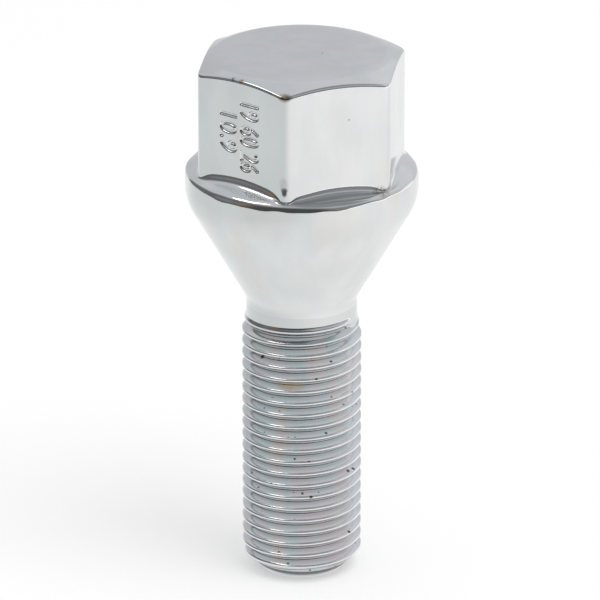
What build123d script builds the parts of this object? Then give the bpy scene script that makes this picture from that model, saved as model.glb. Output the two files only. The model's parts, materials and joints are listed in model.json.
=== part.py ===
from build123d import *
from math import radians, tan
import os

# Wheel bolt with a cone seat: one cold-forged steel piece with a hex head, a collar, a cone that
# centres the wheel, a plain neck and a threaded shank. It stands on its flat tip, with the axis on Z.

# Shank, in millimetres, from the tip upwards
thread_diameter = 11.87   # M12, the middle of the 6g tolerance band
thread_length = 26.4      # from the tip to where the thread runs out
tip_diameter = 8.0        # flat on the end, left by the 45 degree lead-in
neck_diameter = 11.0      # rolling blank, about the pitch diameter
runout_length = 0.5       # slope at the end of the thread, down to the neck
neck_length = 1.97        # plain neck between the run-out and the small end of the cone

# Cone seat and collar
seat_angle = 60.0         # included angle of the cone
neck_fillet = 1.2         # between the neck and the cone
collar_diameter = 23.0    # widest part of the bolt
collar_round = 5.0        # where the cone turns up into the collar
collar_band = 2.83        # upright side of the collar, before its edges are rounded
ledge_slope = 27.0        # fall of the collar's upper face, towards its edge
ledge_edge_round = 0.8    # collar's upper edge

# Hex head
across_flats = 19.0       # spanner size
hex_corner_round = 0.9    # the six upright edges
head_height = 11.95       # from the collar's upper edge to the flat top
chamfer_diameter = 17.2   # circle where the flat top starts to fall
chamfer_slope = 22.0      # fall of the top towards the corners
top_edge_round = 0.4      # between the crown and the six flats
hex_root_round = 0.5      # between the six flats and the collar


def shank_top():
    # Height of the small end of the cone.
    return thread_length + runout_length + neck_length


def seat_top():
    # Height at which the cone would reach the collar's side.
    return shank_top() + (collar_diameter - neck_diameter) / 2 / tan(radians(seat_angle / 2))


def collar_edge():
    return seat_top() + collar_band


def head_top():
    return collar_edge() + head_height


def turned_body():
    thread_radius = thread_diameter / 2
    tip_radius = tip_diameter / 2
    neck_radius = neck_diameter / 2
    collar_radius = collar_diameter / 2
    lead_in = thread_radius - tip_radius
    ledge_rise = collar_radius * tan(radians(ledge_slope))

    neck_corner = (neck_radius, shank_top())
    seat_corner = (collar_radius, seat_top())
    ledge_corner = (collar_radius, collar_edge())
    outline = Polyline(
        (0, 0),
        (tip_radius, 0),
        (thread_radius, lead_in),
        (thread_radius, thread_length),
        (neck_radius, thread_length + runout_length),
        neck_corner,
        seat_corner,
        ledge_corner,
        (0, collar_edge() + ledge_rise),
        close=True,
    )
    section = make_face(outline)
    for corner, radius in (
        (neck_corner, neck_fillet),
        (seat_corner, collar_round),
        (ledge_corner, ledge_edge_round),
    ):
        nearest = section.vertices().sort_by_distance(Vector(*corner))[0]
        section = fillet(nearest, radius)
    return revolve(Plane.XZ * section, Axis.Z)


def chamfered_bar():
    # Round bar with the head's flat top and sloping rim; the hexagon is cut out of it.
    flat_radius = chamfer_diameter / 2
    bar_radius = across_flats
    fall = (bar_radius - flat_radius) * tan(radians(chamfer_slope))
    outline = Polyline(
        (0, 0),
        (0, head_top()),
        (flat_radius, head_top()),
        (bar_radius, head_top() - fall),
        (bar_radius, 0),
        close=True,
    )
    return revolve(Plane.XZ * make_face(outline), Axis.Z)


def curved_edges(solid, low, high):
    # Edges that follow the hexagon round, between two heights, without its upright edges and the turned rings.
    edges = solid.edges().filter_by(GeomType.LINE, reverse=True)
    edges = edges.filter_by(GeomType.CIRCLE, reverse=True)
    return [edge for edge in edges if low < edge.center().Z < high]


def hex_head():
    hexagon = RegularPolygon(across_flats / 2, 6, major_radius=False, rotation=30)
    hexagon = fillet(hexagon.vertices(), hex_corner_round)
    prism = Pos(0, 0, collar_edge()) * extrude(hexagon, head_height)
    head = prism & chamfered_bar()
    half_way = collar_edge() + head_height / 2
    return fillet(curved_edges(head, half_way, head_top()), top_edge_round)


def wheel_bolt():
    bolt = turned_body() + hex_head()
    half_way = collar_edge() + head_height / 2
    return fillet(curved_edges(bolt, collar_edge(), half_way), hex_root_round)


os.makedirs("parts", exist_ok=True)
export_step(wheel_bolt(), "parts/wheel_bolt.step")
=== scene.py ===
import bpy
import bmesh
import json
import math
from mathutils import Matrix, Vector
from mathutils.bvhtree import BVHTree


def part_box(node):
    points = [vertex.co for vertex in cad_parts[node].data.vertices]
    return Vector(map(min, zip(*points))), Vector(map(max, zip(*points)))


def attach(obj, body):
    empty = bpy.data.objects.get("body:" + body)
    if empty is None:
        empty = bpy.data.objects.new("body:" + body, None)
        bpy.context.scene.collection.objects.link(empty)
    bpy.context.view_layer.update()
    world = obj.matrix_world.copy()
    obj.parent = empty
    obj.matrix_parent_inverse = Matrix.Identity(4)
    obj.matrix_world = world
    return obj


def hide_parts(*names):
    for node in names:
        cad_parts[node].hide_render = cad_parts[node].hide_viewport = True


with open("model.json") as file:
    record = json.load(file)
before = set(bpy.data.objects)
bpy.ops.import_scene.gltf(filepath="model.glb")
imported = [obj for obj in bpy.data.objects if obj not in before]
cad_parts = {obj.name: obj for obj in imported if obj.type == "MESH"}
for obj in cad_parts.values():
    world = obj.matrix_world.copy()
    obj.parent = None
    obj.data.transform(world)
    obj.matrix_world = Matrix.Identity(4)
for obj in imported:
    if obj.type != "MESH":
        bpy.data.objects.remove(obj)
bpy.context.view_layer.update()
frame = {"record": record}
mm = 0.001
fullTurn = 2 * math.pi
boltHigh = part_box("wheel_bolt")[1]
mountByName = {mount["name"]: mount for mount in frame["record"]["mounts"]}
print("frame loaded, bolt", round(boltHigh.z / mm, 2), "mm tall")

gridSizes = {
    "columns": 168,            # points round the axis, the same on the head and the thread
    "corners": 6,
    "crowding": 0.82,          # how much the points crowd at the corners
    "runEnd": 0.08 * mm,       # a straight run has points this near to its ends, so that it stays flat
    "runEndShare": 0.2,        # but no further in than this share of it
    "weld": 0.003 * mm,        # points of two pieces that are nearer than this become one
    "normalWeight": 60,        # how much large faces lead the shading
}

headSizes = {
    "top": boltHigh.z,
    "halfFlats": 9.5 * mm,
    "cornerRound": 1.3 * mm,
    "topFlat": 8.6 * mm,       # radius of the middle
    "topCrown": 0.03 * mm,     # how much the middle stands up
    "topSlope": math.radians(22),
    "topBlend": 2.0 * mm,
    "topEdgeRound": 0.4 * mm,
    "footRound": 1.15 * mm,    # where the flats meet the collar, less at the corners
    "frontDrop": 0.42 * mm,    # the forging is lower under the front flat
    "cornerDip": 0.46 * mm,    # and comes to a point under the front corner
    "dropRise": (266, 16),     # in degrees: where the drop starts, and over how much it grows
    "dropFall": (350, 20),     # where it ends, and over how much it fades
    "dropEdge": 0.35 * mm,     # the collar's edge keeps its height this far in
    "dropFade": (0.8 * mm, 2.5 * mm),      # the drop fades on the flats from this height, over this much
    "dipAngle": 270,
    "dipReach": 4.5,           # degrees to each side
    "ledgeKept": 0.6,          # of the collar's edge round, which the foot's round keeps clear of
    "footShare": 1.4,          # of the room that is left, for the foot's round
}

collarSizes = {
    "radius": boltHigh.x,
    "edge": boltHigh.z - 11.95 * mm,
    "edgeRound": 1.0 * mm,
    "sharpEdge": 0.5 * mm,     # at the left and right the collar's edge is sharper
    "sharpSpans": (            # in degrees: start and rise, end and fall
        ((292, 26), (360, 12)),
        ((168, 15), (234, 24)),
    ),
    "edgeUneven": 0.09 * mm,   # and all round it is forged a little unevenly
    "edgeWaves": (             # waves to a turn, their phase and their share
        (17, 0.7, 1.0),
        (29, 2.1, 0.7),
    ),
    "ledgeSlope": math.radians(27),
    "seatRound": 5.0 * mm,
    "seatHalfAngle": math.radians(30),
    "neckRadius": 5.5 * mm,
    "neckRound": 1.2 * mm,
    "shankTop": 28.87 * mm,
}

threadSizes = {
    "pitch": 1.25 * mm,
    "crest": mountByName["thread"]["dims"]["r_mm"] * mm,
    "crestSoft": 0.05 * mm,
    "rootSoft": 0.08 * mm,
    "flank": math.radians(60),
    "depth": 0.64,             # from crest to root, in pitches
    "sharpDepth": 0.738,       # from crest to where the flanks would meet, in pitches
    "rowsPerTurn": 15,
    "rowCrowding": 0.45,
    "low": 0.8 * mm,           # the thread's own mesh starts here, on the lead-in
    "high": 28.2 * mm,         # and ends here, on the plain neck
    "spareTurns": 2,           # of the grid, which fold together at the start
    "lastRidge": (25.2 * mm, 26.0 * mm, 0.42),     # the last turn is rolled less high, down to this share
    "neckEdge": 27.46 * mm,    # height at which the neck's lower edge meets the end of the thread
    "edgeBlend": 0.03 * mm,    # softness of that edge
    "endAngle": math.radians(352),
    "endRun": 0.10,            # in turns, over which the last groove and ridge run out
    "leadSoft": 0.1 * mm,      # where the ridges meet the lead-in
    "weld": 0.002 * mm,
    "tip": 4.0 * mm,
    "tipRound": 0.25 * mm,
    "phase": 0.5415,           # in turns
}


def columnAngle(index):
    even = fullTurn * index / gridSizes["columns"]
    return even + gridSizes["crowding"] * math.sin(gridSizes["corners"] * even) / gridSizes["corners"]


def wallRadius(angle):
    # distance from the axis to the rounded hexagon, whose corners are at 30, 90, 150 degrees and on
    sixth = math.pi / 6
    flat, rounding = headSizes["halfFlats"], headSizes["cornerRound"]
    fromCorner = angle % (2 * sixth) - sixth
    centre = (flat - rounding) / math.cos(sixth)
    reach = math.atan2(rounding * math.sin(sixth), centre + rounding * math.cos(sixth))
    if abs(fromCorner) < reach:
        side = centre * math.sin(fromCorner)
        return centre * math.cos(fromCorner) + math.sqrt(rounding ** 2 - side ** 2)
    return flat / math.cos(sixth - abs(fromCorner))


def roundedPath(points, straightSteps):
    # points are (radius, height, rounding, steps); rounds the corners and divides the runs between them
    stops = [[Vector(points[0][:2])]]
    for before, here, after in zip(points, points[1:], points[2:]):
        corner = Vector(here[:2])
        toBefore = (Vector(before[:2]) - corner).normalized()
        toAfter = (Vector(after[:2]) - corner).normalized()
        half = toBefore.angle(toAfter) / 2
        centre = corner + (toBefore + toAfter).normalized() * here[2] / math.sin(half)
        start = corner + toBefore * here[2] / math.tan(half) - centre
        end = corner + toAfter * here[2] / math.tan(half) - centre
        arc = []
        for step in range(here[3] + 1):
            share = step / here[3]
            arc.append(centre + start.slerp(end, share) * here[2])
        stops.append(arc)
    stops.append([Vector(points[-1][:2])])
    path = list(stops[0])
    for runSteps, arc in zip(straightSteps, stops[1:]):
        last = path[-1]
        if runSteps > 1:
            near = min(gridSizes["runEnd"] / (arc[0] - last).length, gridSizes["runEndShare"])
            shares = [near + (1 - 2 * near) * step / (runSteps - 1) for step in range(runSteps)]
            path += [last.lerp(arc[0], share) for share in shares]
        path += arc
    return path


def eased(share):
    share = min(max(share, 0), 1)
    return share * share * (3 - 2 * share)


def spanned(turned, rise, fall):
    # from 0 up to 1 and back to 0, with both given as an angle and a width in degrees
    return eased((turned - rise[0]) / rise[1]) * eased((fall[0] - turned) / fall[1])


def ledgeDrop(angle):
    turned = math.degrees(angle)
    front = spanned(turned, headSizes["dropRise"], headSizes["dropFall"])
    corner = max(1 - abs(turned - headSizes["dipAngle"]) / headSizes["dipReach"], 0)
    return headSizes["frontDrop"] * front + headSizes["cornerDip"] * corner


def edgeRound(angle):
    turned = math.degrees(angle)
    sharp = sum(spanned(turned, rise, fall) for rise, fall in collarSizes["sharpSpans"])
    waves = collarSizes["edgeWaves"]
    uneven = sum(share * math.sin(count * angle + phase) for count, phase, share in waves)
    even = collarSizes["edgeRound"] + (collarSizes["sharpEdge"] - collarSizes["edgeRound"]) * sharp
    return even + collarSizes["edgeUneven"] * uneven


def headPath(angle):
    wall = wallRadius(angle)
    radius, edge, neck = collarSizes["radius"], collarSizes["edge"], collarSizes["neckRadius"]
    seatTop = collarSizes["shankTop"] + (radius - neck) / math.tan(collarSizes["seatHalfAngle"])
    ledge = edge + (radius - wall) * math.tan(collarSizes["ledgeSlope"])
    middle = headSizes["top"] - headSizes["topCrown"]
    rim = middle - (wall - headSizes["topFlat"]) * math.tan(headSizes["topSlope"])
    widest = max(edgeRound(angle), collarSizes["edgeRound"])
    room = (radius - wall) / math.cos(collarSizes["ledgeSlope"]) - headSizes["ledgeKept"] * widest
    foot = min(headSizes["footRound"], headSizes["footShare"] * room)
    topSteps = 8
    points = [
        (neck, threadSizes["high"]),
        (neck, collarSizes["shankTop"], collarSizes["neckRound"], 6),
        (radius, seatTop, collarSizes["seatRound"], 12),
        (radius, edge, edgeRound(angle), 10),
        (wall, ledge, foot, 12),
        (wall, rim, headSizes["topEdgeRound"], 10),
        (headSizes["topFlat"], middle, headSizes["topBlend"], 8),
        (0.0, middle),
    ]
    path = roundedPath(points, (2, 6, 2, 3, 12, 3, topSteps))
    for point in path[-topSteps - 1:]:
        inward = max(1 - (point.x / headSizes["topFlat"]) ** 2, 0)
        point.y += headSizes["topCrown"] * inward
    drop, rimEnd = ledgeDrop(angle), radius - headSizes["dropEdge"]
    fadeStart, fadeHeight = headSizes["dropFade"]
    for point in path:
        if drop and point.y > edge:
            inward = eased((rimEnd - point.x) / (rimEnd - wall))
            upward = eased((point.y - ledge - fadeStart) / fadeHeight)
            point.y -= drop * inward * (1 - upward)
    return path


def tipPath(angle):
    # the same at every angle
    lead = threadSizes["low"] + threadSizes["tip"]
    points = [
        (lead, threadSizes["low"]),
        (threadSizes["tip"], 0.0, threadSizes["tipRound"], 6),
        (0.0, 0.0),
    ]
    return roundedPath(points, (2, 6))


def turnedMesh(name, pathAt):
    # one path per column; the last point of every path is on the axis
    columns = gridSizes["columns"]
    mesh = bpy.data.meshes.new(name)
    grown = bmesh.new()
    rows = []
    for index in range(columns):
        angle = columnAngle(index)
        path = pathAt(angle)
        x, y = math.cos(angle), math.sin(angle)
        rows.append([grown.verts.new((p.x * x, p.x * y, p.y)) for p in path[:-1]])
    pole = grown.verts.new((0, 0, path[-1].y))
    for index in range(columns):
        left, right = rows[index], rows[(index + 1) % columns]
        for step in range(len(left) - 1):
            grown.faces.new((left[step], right[step], right[step + 1], left[step + 1]))
        grown.faces.new((left[-1], right[-1], pole))
    grown.to_mesh(mesh)
    grown.free()
    return mesh


def feed(tree, socket, value):
    if isinstance(value, bpy.types.NodeSocket):
        tree.links.new(value, socket)
    elif socket.type == "RGBA" and isinstance(value, tuple):
        socket.default_value = (*value, 1)
    else:
        socket.default_value = value


def addMath(tree, operation, *values):
    node = tree.nodes.new("ShaderNodeMath")
    node.operation = operation
    for socket, value in zip(node.inputs, values):
        feed(tree, socket, value)
    return node.outputs[0]


def smoothRange(tree, value, low, high, toLow=0.0, toHigh=1.0):
    node = tree.nodes.new("ShaderNodeMapRange")
    node.interpolation_type = "SMOOTHSTEP"
    names = ("Value", "From Min", "From Max", "To Min", "To Max")
    for name, given in zip(names, (value, low, high, toLow, toHigh)):
        feed(tree, node.inputs[name], given)
    return node.outputs["Result"]


def threadTree():
    # a flat grid is rolled up along the helix, so its rows lie on the crest and in the root all the way
    tree = bpy.data.node_groups.new("rolledThread", "GeometryNodeTree")
    tree.interface.new_socket("Geometry", in_out="OUTPUT", socket_type="NodeSocketGeometry")
    numbers = (
        "Pitch", "Crest Radius", "Crest Softness", "Root Softness", "Neck Radius", "Tip Radius",
        "Low", "High", "Ridge Start", "Ridge End", "Ridge Share", "Neck Edge", "End Angle", "End Run",
        "Turns", "Phase", "Row Crowding", "Column Crowding",
    )
    for name in numbers:
        tree.interface.new_socket(name, in_out="INPUT", socket_type="NodeSocketFloat")
    for name in ("Columns", "Rows"):
        tree.interface.new_socket(name, in_out="INPUT", socket_type="NodeSocketInt")
    tree.interface.new_socket("Material", in_out="INPUT", socket_type="NodeSocketMaterial")
    source = tree.nodes.new("NodeGroupInput").outputs
    grid = tree.nodes.new("GeometryNodeMeshGrid")
    grid.inputs["Size X"].default_value = 1
    grid.inputs["Size Y"].default_value = 1
    tree.links.new(addMath(tree, "ADD", source["Columns"], 1), grid.inputs["Vertices X"])
    tree.links.new(addMath(tree, "ADD", source["Rows"], 1), grid.inputs["Vertices Y"])
    place = tree.nodes.new("ShaderNodeSeparateXYZ")
    tree.links.new(tree.nodes.new("GeometryNodeInputPosition").outputs[0], place.inputs[0])
    across = addMath(tree, "ADD", place.outputs["X"], 0.5)
    along = addMath(tree, "ADD", place.outputs["Y"], 0.5)

    even = addMath(tree, "MULTIPLY", across, fullTurn)
    swing = addMath(tree, "SINE", addMath(tree, "MULTIPLY", even, gridSizes["corners"]))
    swing = addMath(tree, "DIVIDE", swing, gridSizes["corners"])
    angle = addMath(tree, "MULTIPLY_ADD", swing, source["Column Crowding"], even)
    evenTurn = addMath(tree, "MULTIPLY", along, source["Turns"])
    evenTurn = addMath(tree, "SUBTRACT", evenTurn, threadSizes["spareTurns"])
    rowSwing = addMath(tree, "SINE", addMath(tree, "MULTIPLY", evenTurn, 2 * fullTurn))
    rowShift = addMath(tree, "MULTIPLY", rowSwing, source["Row Crowding"])
    rowShift = addMath(tree, "DIVIDE", rowShift, 2 * fullTurn)
    turn = addMath(tree, "SUBTRACT", evenTurn, rowShift)

    risen = addMath(tree, "ADD", turn, addMath(tree, "DIVIDE", angle, fullTurn))
    risen = addMath(tree, "ADD", risen, source["Phase"])
    height = addMath(tree, "MULTIPLY_ADD", risen, source["Pitch"], source["Low"])
    height = addMath(tree, "MINIMUM", addMath(tree, "MAXIMUM", height, source["Low"]), source["High"])

    # 60 degree flanks, cut off softly at the crest and in the root
    fold = addMath(tree, "MULTIPLY", addMath(tree, "PINGPONG", turn, 0.5), source["Pitch"])
    steep = addMath(tree, "MULTIPLY", fold, math.tan(threadSizes["flank"]))
    pitch, crest = source["Pitch"], source["Crest Radius"]
    sharpRoot = addMath(tree, "MULTIPLY_ADD", pitch, -threadSizes["sharpDepth"], crest)
    softRoot = addMath(tree, "MULTIPLY_ADD", pitch, -threadSizes["depth"], crest)
    radius = addMath(tree, "ADD", steep, sharpRoot)
    radius = addMath(tree, "SMOOTH_MIN", radius, crest, source["Crest Softness"])
    radius = addMath(tree, "SMOOTH_MAX", radius, softRoot, source["Root Softness"])

    # the last turn's ridge is lower, and its groove ends under the neck's edge, which follows the helix
    proud = addMath(tree, "SUBTRACT", radius, source["Neck Radius"])
    around = addMath(tree, "ADD", addMath(tree, "DIVIDE", angle, fullTurn), source["Phase"])
    crestTurn = addMath(tree, "ADD", addMath(tree, "FLOOR", turn), 0.5)
    crestLevel = addMath(tree, "ADD", crestTurn, around)
    crestLevel = addMath(tree, "MULTIPLY_ADD", crestLevel, pitch, source["Low"])
    ridgeSpan = source["Ridge Start"], source["Ridge End"]
    full = smoothRange(tree, crestLevel, *ridgeSpan, 1.0, source["Ridge Share"])
    ridge = addMath(tree, "MULTIPLY", addMath(tree, "MAXIMUM", proud, 0.0), full)
    proud = addMath(tree, "ADD", ridge, addMath(tree, "MINIMUM", proud, 0.0))
    sweep = addMath(tree, "DIVIDE", addMath(tree, "SUBTRACT", angle, source["End Angle"]), fullTurn)
    sweep = addMath(tree, "FRACT", sweep)
    edge = addMath(tree, "MULTIPLY_ADD", addMath(tree, "SUBTRACT", sweep, 1), pitch, source["Neck Edge"])
    blend = threadSizes["edgeBlend"]
    below = smoothRange(tree, addMath(tree, "SUBTRACT", height, edge), -blend, blend, 1.0, 0.0)
    under = addMath(tree, "SUBTRACT", edge, pitch)
    lastTurn = smoothRange(tree, addMath(tree, "SUBTRACT", height, under), -blend, blend)
    running = smoothRange(tree, sweep, addMath(tree, "SUBTRACT", 1, source["End Run"]), 1.0)
    ended = addMath(tree, "SUBTRACT", 1, addMath(tree, "MULTIPLY", lastTurn, running))
    proud = addMath(tree, "MULTIPLY", addMath(tree, "MULTIPLY", proud, below), ended)
    radius = addMath(tree, "ADD", proud, source["Neck Radius"])
    leadIn = addMath(tree, "ADD", height, source["Tip Radius"])
    radius = addMath(tree, "SMOOTH_MIN", radius, leadIn, threadSizes["leadSoft"])

    rolled = tree.nodes.new("ShaderNodeCombineXYZ")
    tree.links.new(addMath(tree, "MULTIPLY", radius, addMath(tree, "COSINE", angle)), rolled.inputs["X"])
    tree.links.new(addMath(tree, "MULTIPLY", radius, addMath(tree, "SINE", angle)), rolled.inputs["Y"])
    tree.links.new(height, rolled.inputs["Z"])
    shaped = tree.nodes.new("GeometryNodeSetPosition")
    welded = tree.nodes.new("GeometryNodeMergeByDistance")
    welded.inputs["Distance"].default_value = threadSizes["weld"]
    real = tree.nodes.new("GeometryNodeRealizeInstances")
    painted = tree.nodes.new("GeometryNodeSetMaterial")
    done = tree.nodes.new("NodeGroupOutput")
    tree.links.new(grid.outputs["Mesh"], shaped.inputs["Geometry"])
    tree.links.new(rolled.outputs[0], shaped.inputs["Position"])
    tree.links.new(shaped.outputs[0], welded.inputs["Geometry"])
    tree.links.new(welded.outputs[0], real.inputs["Geometry"])
    tree.links.new(real.outputs[0], painted.inputs["Geometry"])
    tree.links.new(source["Material"], painted.inputs["Material"])
    tree.links.new(painted.outputs[0], done.inputs[0])
    return tree


def threadMesh(material):
    turns = (threadSizes["high"] - threadSizes["low"]) / threadSizes["pitch"] + threadSizes["spareTurns"]
    rows = round(turns * threadSizes["rowsPerTurn"])
    values = {
        "Pitch": threadSizes["pitch"],
        "Crest Radius": threadSizes["crest"],
        "Crest Softness": threadSizes["crestSoft"],
        "Root Softness": threadSizes["rootSoft"],
        "Neck Radius": collarSizes["neckRadius"],
        "Tip Radius": threadSizes["tip"],
        "Low": threadSizes["low"],
        "High": threadSizes["high"],
        "Ridge Start": threadSizes["lastRidge"][0],
        "Ridge End": threadSizes["lastRidge"][1],
        "Ridge Share": threadSizes["lastRidge"][2],
        "Neck Edge": threadSizes["neckEdge"],
        "End Angle": threadSizes["endAngle"],
        "End Run": threadSizes["endRun"],
        "Turns": rows / threadSizes["rowsPerTurn"],
        "Phase": threadSizes["phase"],
        "Row Crowding": threadSizes["rowCrowding"],
        "Column Crowding": gridSizes["crowding"],
        "Columns": gridSizes["columns"],
        "Rows": rows,
        "Material": material,
    }
    carrier = bpy.data.objects.new("threadCarrier", bpy.data.meshes.new("threadCarrier"))
    bpy.context.scene.collection.objects.link(carrier)
    modifier = carrier.modifiers.new("rolledThread", "NODES")
    modifier.node_group = threadTree()
    for item in modifier.node_group.interface.items_tree:
        if item.in_out == "INPUT":
            modifier[item.identifier] = values[item.name]
    shown = carrier.evaluated_get(bpy.context.evaluated_depsgraph_get())
    mesh = bpy.data.meshes.new_from_object(shown)
    carrier.modifiers.remove(modifier)
    bpy.data.objects.remove(carrier)
    return mesh


def addNode(tree, kind, **settings):
    node = tree.nodes.new(kind)
    for name, value in settings.items():
        setattr(node, name, value)
    return node


def setInputs(tree, node, **values):
    for name, value in values.items():
        feed(tree, node.inputs[name.replace("_", " ")], value)
    return node


def shaderGroup(name, inputs, outputs):
    tree = bpy.data.node_groups.new(name, "ShaderNodeTree")
    for label, kind in inputs:
        tree.interface.new_socket(label, in_out="INPUT", socket_type=kind)
    for label, kind in outputs:
        tree.interface.new_socket(label, in_out="OUTPUT", socket_type=kind)
    return tree, tree.nodes.new("NodeGroupInput").outputs, tree.nodes.new("NodeGroupOutput").inputs


def mixColour(tree, factor, first, second, blend="MIX"):
    mix = addNode(tree, "ShaderNodeMix", data_type="RGBA", blend_type=blend)
    return setInputs(tree, mix, Factor=factor, A=first, B=second).outputs["Result"]


def stretched(tree, vector, scale):
    node = addNode(tree, "ShaderNodeVectorMath", operation="MULTIPLY")
    tree.links.new(vector, node.inputs[0])
    node.inputs[1].default_value = scale
    return node.outputs[0]


def noise(tree, vector, scale, detail=2.0, roughness=0.5):
    node = addNode(tree, "ShaderNodeTexNoise")
    setInputs(tree, node, Vector=vector, Scale=scale, Detail=detail, Roughness=roughness)
    return node.outputs["Fac"]


def wavyGroup():
    # slow waves of the forging and the fine grain of the plating, as a height from 0 to 1
    tree, given, result = shaderGroup(
        "platedWaves",
        (("Vector", "NodeSocketVector"), ("Grain", "NodeSocketFloat")),
        (("Height", "NodeSocketFloat"),),
    )
    slow = noise(tree, given["Vector"], scale=210, detail=1.0)
    fine = noise(tree, given["Vector"], scale=2400)
    height = addMath(tree, "MULTIPLY_ADD", fine, given["Grain"], slow)
    tree.links.new(height, result["Height"])
    return tree


filmHues = (                   # place on the ramp, colour
    (0.30, (1.0, 0.90, 0.82)),
    (0.40, (1.0, 0.97, 0.98)),
    (0.47, (0.86, 0.98, 1.0)),
    (0.54, (0.94, 0.97, 1.0)),
    (0.60, (1.0, 0.93, 0.98)),
    (0.68, (0.90, 1.0, 0.95)),
    (0.76, (1.0, 0.95, 0.86)),
)


def filmGroup():
    # thin colour film on the plating: faint blue, green, yellow and pink patches on white
    tree, given, result = shaderGroup(
        "platedFilm",
        (("Vector", "NodeSocketVector"), ("Strength", "NodeSocketFloat")),
        (("Color", "NodeSocketColor"),),
    )
    patches = noise(tree, given["Vector"], scale=1.0, roughness=0.55)
    ramp = addNode(tree, "ShaderNodeValToRGB")
    tree.links.new(patches, ramp.inputs["Fac"])
    while len(ramp.color_ramp.elements) < len(filmHues):
        ramp.color_ramp.elements.new(0.5)
    for element, (position, hue) in zip(ramp.color_ramp.elements, filmHues):
        element.position = position
        element.color = (*hue, 1)
    film = mixColour(tree, given["Strength"], (1.0, 1.0, 1.0), ramp.outputs["Color"])
    tree.links.new(film, result["Color"])
    return tree


def speckGroup():
    # small pits, one in some cells only, as a mask
    tree, given, result = shaderGroup(
        "platedSpecks",
        (("Vector", "NodeSocketVector"), ("Amount", "NodeSocketFloat"), ("Size", "NodeSocketFloat")),
        (("Mask", "NodeSocketFloat"),),
    )
    cells = addNode(tree, "ShaderNodeTexVoronoi")
    setInputs(tree, cells, Vector=given["Vector"], Scale=1.0)
    chosen = addNode(tree, "ShaderNodeSeparateColor")
    tree.links.new(cells.outputs["Color"], chosen.inputs[0])
    picked = addMath(tree, "LESS_THAN", chosen.outputs[0], given["Amount"])
    size = addMath(tree, "MULTIPLY", given["Size"], chosen.outputs[1])
    core = addMath(tree, "MULTIPLY", size, 0.5)
    inside = smoothRange(tree, cells.outputs["Distance"], core, size, 1.0, 0.0)
    tree.links.new(addMath(tree, "MULTIPLY", picked, inside), result["Mask"])
    return tree


def useGroup(tree, group, **values):
    node = addNode(tree, "ShaderNodeGroup", node_tree=group)
    return setInputs(tree, node, **values).outputs[0]


def platedMaterial(name):
    material = bpy.data.materials.new(name)
    material.use_nodes = True
    shader = material.node_tree.nodes["Principled BSDF"]
    shader.inputs["Metallic"].default_value = 1
    place = material.node_tree.nodes.new("ShaderNodeTexCoord").outputs["Object"]
    return material, material.node_tree, shader, place


cameraSizes = {
    "azimuth": 8.81,           # degrees to the right of the front corner
    "elevation": 21.15,
    "distance": 0.74,
    "lens": 448.4,             # in mm, as is the sensor
    "sensor": 36,
    "clip": (0.1, 10),
    "aimHeight": 28.12 * mm,
    "aimSide": -0.17 * mm,     # the bolt stands a little right of the middle
}


def toward(azimuth, elevation):
    # direction by degrees to the right of the camera and above the floor
    turn, lift = math.radians(azimuth + cameraSizes["azimuth"]), math.radians(elevation)
    return Vector((math.sin(turn) * math.cos(lift), -math.cos(turn) * math.cos(lift), math.sin(lift)))


headLook = {
    "colour": (0.775, 0.78, 0.775),
    "roughness": (0.07, 0.12),
    "cloudSpan": (0.3, 0.75),          # of the noise, from the first roughness to the second
    "filmStrength": 0.20,
    "filmStretch": (170, 170, 90),
    "uneven": (0.965, 1.04),           # slow changes of tone over the plating
    "unevenSpan": (0.34, 0.68),
    "unevenStretch": (230, 230, 120),
    "gritSpan": (0.42, 0.58),          # of the noise that breaks up the marks, the painted shade and the painted reflection
    "grain": 0.02,
    "waveDepth": 0.008 * mm,
}

headFlawsAndPaintedLight = (                  # marks on the plating, painted shade of a dent and a painted reflection: place and reach in mm, how much taller than wide, colour, how broken up
    ((2.0, 0.2, 54.04), 0.14, 1.0, (0.26, 0.26, 0.27), 0.0),
    ((5.8, -7.6, 50.1), 0.13, 1.0, (0.36, 0.36, 0.36), 0.0),
    ((9.5, -3.1, 46.1), 0.14, 1.0, (0.36, 0.36, 0.36), 0.0),
    ((-0.1, -10.8, 44.2), 0.60, 1.5, (0.60, 0.60, 0.60), 0.4),     # three low on the front corner: painted shade of a small dent that the mesh doesn't have, and its painted shadow above it
    ((-0.05, -10.8, 43.6), 0.46, 0.8, (0.10, 0.10, 0.10), 0.3),
    ((-0.05, -10.8, 43.3), 0.36, 1.4, (0.10, 0.10, 0.10), 0.0),
    ((8.7, -6.2, 42.2), 1.15, 0.7, (0.34, 0.34, 0.30), 0.7),       # where the front flat ends at the right
    ((-5.6, -7.7, 53.8), 0.45, 1.0, (0.24, 0.23, 0.24), 0.8),      # three along the top edge: a dark mark, a brownish mark, and a brown and dark painted reflection on the front corner
    ((-4.7, -8.2, 53.7), 0.45, 1.0, (0.46, 0.34, 0.25), 0.5),
    ((0.0, -10.8, 53.1), 0.95, 0.6, (0.30, 0.24, 0.16), 0.3),
)


# mask of one spot from a table: a mark on the plating, painted shade or a painted reflection
def flawAndPaintedLightMask(tree, place, broken, centre, reach, tall, grit):
    offset = addNode(tree, "ShaderNodeVectorMath", operation="SUBTRACT")
    tree.links.new(place, offset.inputs[0])
    offset.inputs[1].default_value = [value * mm for value in centre]
    away = addNode(tree, "ShaderNodeVectorMath", operation="LENGTH")
    tree.links.new(stretched(tree, offset.outputs[0], (1, 1, 1 / tall)), away.inputs[0])
    core = 0.35 * reach        # full up to here, then fading
    mask = smoothRange(tree, away.outputs["Value"], core * mm, reach * mm, 1.0, 0.0)
    kept = addMath(tree, "MULTIPLY_ADD", broken, grit, 1 - grit)
    return addMath(tree, "MULTIPLY", mask, kept)


def marked(tree, place, broken, colour, flawsAndPaintedLight):
    for centre, reach, tall, tone, grit in flawsAndPaintedLight:
        mask = flawAndPaintedLightMask(tree, place, broken, centre, reach, tall, grit)
        colour = mixColour(tree, mask, colour, tone)
    return colour


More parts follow.
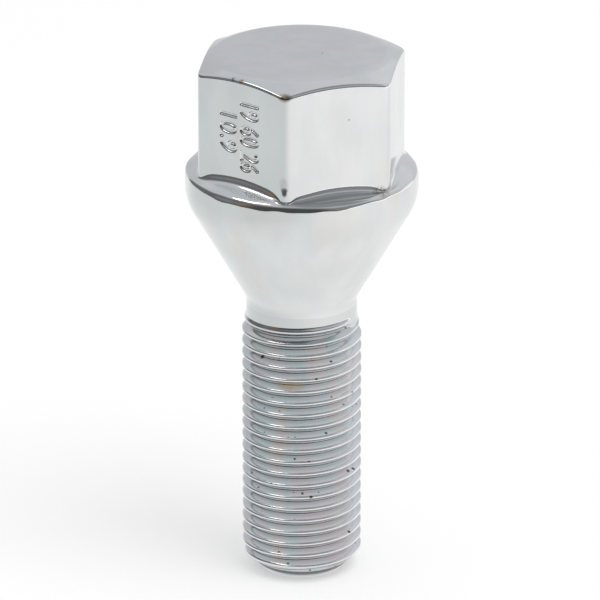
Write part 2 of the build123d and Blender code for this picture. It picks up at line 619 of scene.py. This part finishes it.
def headMaterial(waves, film):
    material, tree, shader, place = platedMaterial("brightPlating")
    patches = stretched(tree, place, headLook["filmStretch"])
    tint = useGroup(tree, film, Vector=patches, Strength=headLook["filmStrength"])
    colour = mixColour(tree, 1.0, headLook["colour"], tint, "MULTIPLY")
    slow = noise(tree, stretched(tree, place, headLook["unevenStretch"]), scale=1.0, detail=3.0)
    tone = smoothRange(tree, slow, *headLook["unevenSpan"], *headLook["uneven"])
    colour = mixColour(tree, 1.0, colour, tone, "MULTIPLY")
    broken = smoothRange(tree, noise(tree, place, scale=3800), *headLook["gritSpan"])
    # marks, with the painted shade of a dent and a painted reflection on the front corner
    colour = marked(tree, place, broken, colour, headFlawsAndPaintedLight)
    cloudy = noise(tree, place, scale=500, detail=3.0)
    rough = smoothRange(tree, cloudy, *headLook["cloudSpan"], *headLook["roughness"])
    height = useGroup(tree, waves, Vector=place, Grain=headLook["grain"])
    bump = addNode(tree, "ShaderNodeBump")
    setInputs(tree, bump, Distance=headLook["waveDepth"], Height=height)
    setInputs(tree, shader, Base_Color=colour, Roughness=rough, Normal=bump.outputs[0])
    return material


threadLook = {
    "colour": (0.752, 0.757, 0.763),
    "paintedRootShade": (0.605, 0.605, 0.61),     # painted shade, deeper in the thread
    "paintedRootShadeEnd": 0.15 * mm,             # where the painted shade ends, below the crest
    # painted highlight on the crest
    "crest": (0.90, 0.90, 0.90),
    "crestHighlightSpan": (0.09 * mm, 0.03 * mm),       # below the crest, from the flank's colour to the crest's painted highlight
    "streak": (0.80, 0.80, 0.80),
    "streakSpan": (0.4, 0.8),
    "streakShare": (0.0, 0.5),
    "streakStretch": (220, 220, 6500),
    "roughness": (0.11, 0.22),
    "roughSpan": (0.3, 0.7),           # of the streaks, from the first roughness to the second
    "filmStrength": 0.55,
    "filmStretch": (190, 190, 75),
    "gritSpan": (0.4, 0.6),
    "pit": (0.06, 0.055, 0.05),
    "pitAmount": 0.20,
    "pitSize": 0.27,
    "pitStretch": (1300, 1300, 2000),
    "grain": 0.6,
    "waveDepth": 0.014 * mm,
    "neck": (26.6 * mm, 27.3 * mm),    # between these heights the finish turns into the plain neck's
    "neckColour": (0.72, 0.73, 0.73),
}

threadFlaws = (                # as on the head: a brown stain, then the largest pits
    ((-0.36, -5.25, 21.05), 2.1, 0.28, (0.64, 0.585, 0.50), 0.2),
    ((-3.30, -4.00, 23.43), 0.34, 0.7, threadLook["pit"], 0.0),
    ((3.59, -4.29, 23.47), 0.20, 0.8, threadLook["pit"], 0.0),
    ((5.02, -2.32, 11.09), 0.26, 0.9, threadLook["pit"], 0.0),
    ((5.44, -1.58, 11.04), 0.26, 0.9, threadLook["pit"], 0.0),
    ((1.81, -5.65, 9.43), 0.26, 0.7, threadLook["pit"], 0.0),
    ((5.18, -2.65, 4.66), 0.24, 0.9, threadLook["pit"], 0.0),
)


def threadMaterial(waves, film, specks):
    material, tree, shader, place = platedMaterial("rolledThreadPlating")
    parts = addNode(tree, "ShaderNodeSeparateXYZ")
    tree.links.new(place, parts.inputs[0])
    fromAxis = addNode(tree, "ShaderNodeVectorMath", operation="LENGTH")
    tree.links.new(stretched(tree, place, (1, 1, 0)), fromAxis.inputs[0])
    distance, crest = fromAxis.outputs["Value"], threadSizes["crest"]
    root = crest - threadSizes["depth"] * threadSizes["pitch"]
    # masks for the painted shade in the root and the painted highlight on the crest
    paintedRootShadeMask = smoothRange(tree, distance, root, crest - threadLook["paintedRootShadeEnd"], 1.0, 0.0)
    paintedCrestHighlightMask = smoothRange(tree, distance, *[crest - below for below in threadLook["crestHighlightSpan"]])
    onNeck = smoothRange(tree, parts.outputs["Z"], *threadLook["neck"])
    onThread = addMath(tree, "SUBTRACT", 1, onNeck)
    streaks = noise(tree, stretched(tree, place, threadLook["streakStretch"]), scale=1.0, detail=3.0)
    streaked = smoothRange(tree, streaks, *threadLook["streakSpan"], *threadLook["streakShare"])

    # painted shade deeper in the thread, then a painted highlight on the crest
    colour = mixColour(tree, paintedRootShadeMask, threadLook["colour"], threadLook["paintedRootShade"])
    colour = mixColour(tree, paintedCrestHighlightMask, colour, threadLook["crest"])
    colour = mixColour(tree, streaked, colour, threadLook["streak"])
    strength = addMath(tree, "MULTIPLY", onThread, threadLook["filmStrength"])
    patches = stretched(tree, place, threadLook["filmStretch"])
    tint = useGroup(tree, film, Vector=patches, Strength=strength)
    colour = mixColour(tree, 1.0, colour, tint, "MULTIPLY")
    broken = smoothRange(tree, noise(tree, place, scale=1500), *threadLook["gritSpan"])
    colour = marked(tree, place, broken, colour, threadFlaws)
    colour = mixColour(tree, onNeck, colour, threadLook["neckColour"])
    cells = stretched(tree, place, threadLook["pitStretch"])
    pits = useGroup(tree, specks, Vector=cells, Amount=threadLook["pitAmount"], Size=threadLook["pitSize"])
    colour = mixColour(tree, addMath(tree, "MULTIPLY", pits, onThread), colour, threadLook["pit"])

    rough = smoothRange(tree, streaks, *threadLook["roughSpan"], *threadLook["roughness"])
    rough = smoothRange(tree, onNeck, 0.0, 1.0, rough, headLook["roughness"][0])
    height = useGroup(tree, waves, Vector=place, Grain=threadLook["grain"])
    bump = addNode(tree, "ShaderNodeBump")
    setInputs(tree, bump, Distance=threadLook["waveDepth"], Height=height, Strength=onThread)
    setInputs(tree, shader, Base_Color=colour, Roughness=rough, Normal=bump.outputs[0])
    return material


stampSizes = {                 # plain numbers pressed into the left flat, reading downwards
    "depth": 0.16 * mm,
    "slope": 0.17 * mm,        # width of the pressed sides
    "thinning": -0.022,        # of the strokes, against the text's size
    "curveSteps": 4,
    "cuts": 13,                # new points on each edge of the wall's grid
    "flatness": 0.001 * mm,    # what lies nearer than this to the flat is on it
    "faceAngle": math.radians(240),
    "marks": (                 # text, capital height, length, sideways place on the flat, height
        ("19 60 26", 2.2 * mm, 6.9 * mm, 1.1 * mm, 48.05 * mm),
        ("10.9", 1.95 * mm, 3.8 * mm, -1.5 * mm, 48.15 * mm),
    ),
}


def stampShape():
    # flat outlines of the marks, as (sideways, height) on the head's left flat
    points, faces = [], []
    for text, height, length, side, level in stampSizes["marks"]:
        data = bpy.data.curves.new("stamp", "FONT")
        data.body = text
        data.align_x = "CENTER"
        data.align_y = "CENTER"
        data.resolution_u = stampSizes["curveSteps"]
        data.offset = stampSizes["thinning"]
        letters = bpy.data.objects.new("stamp", data)
        bpy.context.scene.collection.objects.link(letters)
        shown = letters.evaluated_get(bpy.context.evaluated_depsgraph_get())
        mesh = bpy.data.meshes.new_from_object(shown)
        along = [vertex.co.x for vertex in mesh.vertices]
        up = [vertex.co.y for vertex in mesh.vertices]
        squeeze = length / (max(along) - min(along))
        stretch = height / (max(up) - min(up))
        middle = (max(along) + min(along)) / 2, (max(up) + min(up)) / 2
        first = len(points)
        for x, y in zip(along, up):
            points.append((side + (y - middle[1]) * stretch, level - (x - middle[0]) * squeeze, 0))
        faces += [[first + index for index in face.vertices] for face in mesh.polygons]
        bpy.data.objects.remove(letters)
        bpy.data.meshes.remove(mesh)
    return points, BVHTree.FromPolygons(points, faces)


def pressStamp(joined):
    normal = Vector((math.cos(stampSizes["faceAngle"]), math.sin(stampSizes["faceAngle"]), 0))
    right = Vector((0, 0, 1)).cross(normal)
    points, shape = stampShape()
    margin = stampSizes["slope"]
    low = Vector([min(point[axis] for point in points) - margin for axis in (0, 1)])
    high = Vector([max(point[axis] for point in points) + margin for axis in (0, 1)])

    def onFlat(vert):
        return abs(vert.co.dot(normal) - headSizes["halfFlats"]) < stampSizes["flatness"]

    def reaches(face):
        sides = [vert.co.dot(right) for vert in face.verts]
        levels = [vert.co.z for vert in face.verts]
        return max(sides) > low.x and min(sides) < high.x and max(levels) > low.y and min(levels) < high.y

    patch = [face for face in joined.faces if all(onFlat(vert) for vert in face.verts) and reaches(face)]
    edges = list({edge for face in patch for edge in face.edges})
    bmesh.ops.subdivide_edges(joined, edges=edges, cuts=stampSizes["cuts"], use_grid_fill=True)
    for vert in joined.verts:
        spot = Vector((vert.co.dot(right), vert.co.z, 0))
        if onFlat(vert) and low.x < spot.x < high.x and low.y < spot.y < high.y:
            away = shape.find_nearest(spot)[3] / stampSizes["slope"]
            vert.co -= normal * stampSizes["depth"] * (1 - eased(away))
    print("stamped patch:", len(patch), "wall faces")


def addObject(name, grown):
    mesh = bpy.data.meshes.new(name)
    grown.to_mesh(mesh)
    grown.free()
    thing = bpy.data.objects.new(name, mesh)
    bpy.context.scene.collection.objects.link(thing)
    return thing


def makeBolt():
    waves, film = wavyGroup(), filmGroup()
    headFinish = headMaterial(waves, film)
    threadFinish = threadMaterial(waves, film, speckGroup())
    meshes = (
        (turnedMesh("head", headPath), 0),
        (turnedMesh("tip", tipPath), 1),
        (threadMesh(threadFinish), 1),
    )
    joined = bmesh.new()
    for mesh, slot in meshes:
        before = len(joined.faces)
        joined.from_mesh(mesh)
        joined.faces.ensure_lookup_table()
        for face in joined.faces[before:]:
            face.material_index = slot
            face.smooth = True
        bpy.data.meshes.remove(mesh)
    bmesh.ops.remove_doubles(joined, verts=joined.verts, dist=gridSizes["weld"])
    bmesh.ops.recalc_face_normals(joined, faces=joined.faces)
    pressStamp(joined)
    openEdges = [edge for edge in joined.edges if len(edge.link_faces) != 2]
    print("bolt mesh:", len(joined.faces), "faces,", len(openEdges), "open edges")
    bolt = addObject("wheelBolt", joined)
    bolt.data.materials.append(headFinish)
    bolt.data.materials.append(threadFinish)

    weigh = bolt.modifiers.new("weigh", "WEIGHTED_NORMAL")
    weigh.keep_sharp = True
    weigh.weight = gridSizes["normalWeight"]
    shown = bolt.evaluated_get(bpy.context.evaluated_depsgraph_get())
    weighed = bpy.data.meshes.new_from_object(shown)
    bolt.modifiers.clear()
    bolt.data = weighed
    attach(bolt, "root")
    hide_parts("wheel_bolt")


def makeCamera():
    back = toward(0, cameraSizes["elevation"])
    aim = Vector((0, 0, cameraSizes["aimHeight"])) + toward(90, 0) * cameraSizes["aimSide"]
    data = bpy.data.cameras.new("camera")
    data.sensor_width = cameraSizes["sensor"]
    data.lens = cameraSizes["lens"]
    data.clip_start, data.clip_end = cameraSizes["clip"]
    camera = bpy.data.objects.new("camera", data)
    bpy.context.scene.collection.objects.link(camera)
    camera.location = aim + back * cameraSizes["distance"]
    camera.rotation_mode = "QUATERNION"
    camera.rotation_quaternion = (-back).to_track_quat("-Z", "Y")
    bpy.context.scene.camera = camera
    print("camera placed")


studio = {
    "floorRadius": 0.35,
    "floorColour": (0.7, 0.7, 0.7),
    "floorLift": 0.325,        # brings the floor up to white where no shadow falls
    "mirrorTone": (0.99, 0.99, 0.99),      # the floor as the bolt mirrors it
    "mirrorShades": (          # and its shade near the bolt: from, to, and the shares there
        (15 * mm, 110 * mm, 0.96, 1.0),
        (4.10 * mm, 4.35 * mm, 1.0, 0.25),
        (4.50 * mm, 4.80 * mm, 1.0, 4.0),
    ),
    "worldFill": 0.76,
    "tentRadius": 0.5,
    "tentTone": (0.655, 0.665, 0.695),
}

floorCards = (                 # azimuth, start and end across the floor, and the tone that the bolt mirrors
    (-72, -45 * mm, 115 * mm, (0.72, 0.755, 0.755)),
    (150, 20 * mm, 90 * mm, (0.945, 0.945, 0.95)),
    (84, 150 * mm, 230 * mm, (1.70, 1.70, 1.72)),
)


def backgroundRays(tree):
    rays = tree.nodes.new("ShaderNodeLightPath")
    seen = addMath(tree, "MAXIMUM", rays.outputs["Is Camera Ray"], rays.outputs["Is Glossy Ray"])
    return addMath(tree, "MAXIMUM", seen, rays.outputs["Is Transmission Ray"])


def alongDirection(tree, vector, azimuth, elevation):
    node = addNode(tree, "ShaderNodeVectorMath", operation="DOT_PRODUCT")
    tree.links.new(vector, node.inputs[0])
    node.inputs[1].default_value = toward(azimuth, elevation)
    return node.outputs["Value"]


def makeWorld():
    world = bpy.data.worlds.new("studioWorld")
    bpy.context.scene.world = world
    world.use_nodes = True
    tree = world.node_tree
    background = tree.nodes["Background"]
    background.inputs["Color"].default_value = (1, 1, 1, 1)
    fill = studio["worldFill"]
    strength = addMath(tree, "MULTIPLY_ADD", backgroundRays(tree), 1 - fill, fill)
    tree.links.new(strength, background.inputs["Strength"])


def makeFloor():
    disc = bmesh.new()
    bmesh.ops.create_circle(disc, cap_ends=True, segments=96, radius=studio["floorRadius"])
    floor = addObject("floor", disc)
    material = bpy.data.materials.new("paleFloor")
    material.use_nodes = True
    tree = material.node_tree
    tree.nodes.remove(tree.nodes["Principled BSDF"])
    matt = tree.nodes.new("ShaderNodeBsdfDiffuse")
    matt.inputs["Color"].default_value = (*studio["floorColour"], 1)
    lift = tree.nodes.new("ShaderNodeEmission")
    rays = tree.nodes.new("ShaderNodeLightPath")
    shown = addMath(tree, "MAXIMUM", rays.outputs["Is Camera Ray"], rays.outputs["Is Transmission Ray"])
    tree.links.new(addMath(tree, "MULTIPLY", shown, studio["floorLift"]), lift.inputs["Strength"])
    both = tree.nodes.new("ShaderNodeAddShader")
    tree.links.new(matt.outputs[0], both.inputs[0])
    tree.links.new(lift.outputs[0], both.inputs[1])
    # the bolt mirrors a white floor, shaded near its foot
    place = tree.nodes.new("ShaderNodeTexCoord").outputs["Object"]
    tone = studio["mirrorTone"]
    for azimuth, begins, ends, colour in floorCards:
        along = alongDirection(tree, place, azimuth, 0)
        tone = mixColour(tree, smoothRange(tree, along, begins, ends), tone, colour)
    away = addNode(tree, "ShaderNodeVectorMath", operation="LENGTH")
    tree.links.new(place, away.inputs[0])
    shade = 1.0
    for span in studio["mirrorShades"]:
        shade = addMath(tree, "MULTIPLY", smoothRange(tree, away.outputs["Value"], *span), shade)
    mirrored = tree.nodes.new("ShaderNodeEmission")
    tree.links.new(tone, mirrored.inputs["Color"])
    tree.links.new(shade, mirrored.inputs["Strength"])
    laid = tree.nodes.new("ShaderNodeMixShader")
    tree.links.new(rays.outputs["Is Glossy Ray"], laid.inputs["Fac"])
    tree.links.new(both.outputs[0], laid.inputs[1])
    tree.links.new(mirrored.outputs[0], laid.inputs[2])
    tree.links.new(laid.outputs[0], tree.nodes["Material Output"].inputs["Surface"])
    floor.data.materials.append(material)


def onlyInReflections(thing):
    thing.visible_camera = False
    thing.visible_diffuse = False
    thing.visible_shadow = False
    thing.visible_transmission = False


tentPatches = (                # azimuth, elevation, radius and softness in degrees, and each screen's tone
    (-163, 24, 16, 5, (0.58, 0.59, 0.62)),
    (143, 34, 15, 7, (0.74, 0.75, 0.78)),
    (124, 2, 12, 6, (1.05, 1.05, 1.05)),
    (76, 4, 24, 16, (0.54, 0.54, 0.55)),
    (46, 8, 26, 16, (0.27, 0.27, 0.28)),
    (-107, 8, 29, 9, (0.17, 0.17, 0.18)),
    (-77, 20, 28, 10, (0.15, 0.15, 0.16)),
    (-55, 6, 42, 12, (0.14, 0.14, 0.15)),
    (-80, 22, 8, 6, (0.22, 0.22, 0.23)),
    (-56, 25, 11, 4, (0.29, 0.20, 0.115)),
    (-12, 9, 40, 14, (0.075, 0.075, 0.075)),
    (48, 70, 24, 8, (0.28, 0.30, 0.31)),        # over the right flat, as the collar mirrors it
    (-122, 56, 12, 10, (0.55, 0.59, 0.62)),     # over the left flat
    (-98, 57, 4, 1.5, (4.00, 4.00, 4.00)),      # a row of lamps that all the edges catch
    (-88, 58, 4, 1.5, (4.00, 4.00, 4.00)),
    (-77, 60, 4, 1.5, (4.00, 4.00, 4.00)),
    (-66, 61, 4, 1.5, (4.00, 4.00, 4.00)),
)


def makeTent():
    ball = bmesh.new()
    bmesh.ops.create_uvsphere(ball, u_segments=48, v_segments=32, radius=studio["tentRadius"])
    tent = addObject("lightTent", ball)
    material = bpy.data.materials.new("lightTent")
    material.use_nodes = True
    tree = material.node_tree
    tree.nodes.remove(tree.nodes["Principled BSDF"])
    place = tree.nodes.new("ShaderNodeTexCoord")
    direction = addNode(tree, "ShaderNodeVectorMath", operation="NORMALIZE")
    tree.links.new(place.outputs["Object"], direction.inputs[0])
    tone = studio["tentTone"]
    for azimuth, elevation, radius, softness, colour in tentPatches:
        along = alongDirection(tree, direction.outputs[0], azimuth, elevation)
        outer, inner = math.radians(radius + softness), math.radians(radius - softness)
        inside = smoothRange(tree, along, math.cos(outer), math.cos(inner))
        tone = mixColour(tree, inside, tone, colour)
    glow = tree.nodes.new("ShaderNodeEmission")
    tree.links.new(tone, glow.inputs["Color"])
    tree.links.new(glow.outputs[0], tree.nodes["Material Output"].inputs["Surface"])
    tent.data.materials.append(material)
    onlyInReflections(tent)


lampSizes = {
    "azimuth": 50,
    "elevation": 62,
    "distance": 0.9,
    "size": 0.6,
    "power": 2.5,
}


def makeLamp():
    data = bpy.data.lights.new("softLamp", "AREA")
    data.shape = "DISK"
    data.size = lampSizes["size"]
    data.energy = lampSizes["power"]
    lamp = bpy.data.objects.new("softLamp", data)
    bpy.context.scene.collection.objects.link(lamp)
    toLamp = toward(lampSizes["azimuth"], lampSizes["elevation"])
    lamp.location = toLamp * lampSizes["distance"]
    lamp.rotation_mode = "QUATERNION"
    lamp.rotation_quaternion = (-toLamp).to_track_quat("-Z", "Y")
    lamp.visible_camera = False
    lamp.visible_glossy = False


makeCamera()
makeBolt()
makeWorld()
makeFloor()
makeTent()
makeLamp()
bpy.context.scene.view_settings.view_transform = "Standard"
print("studio lit")
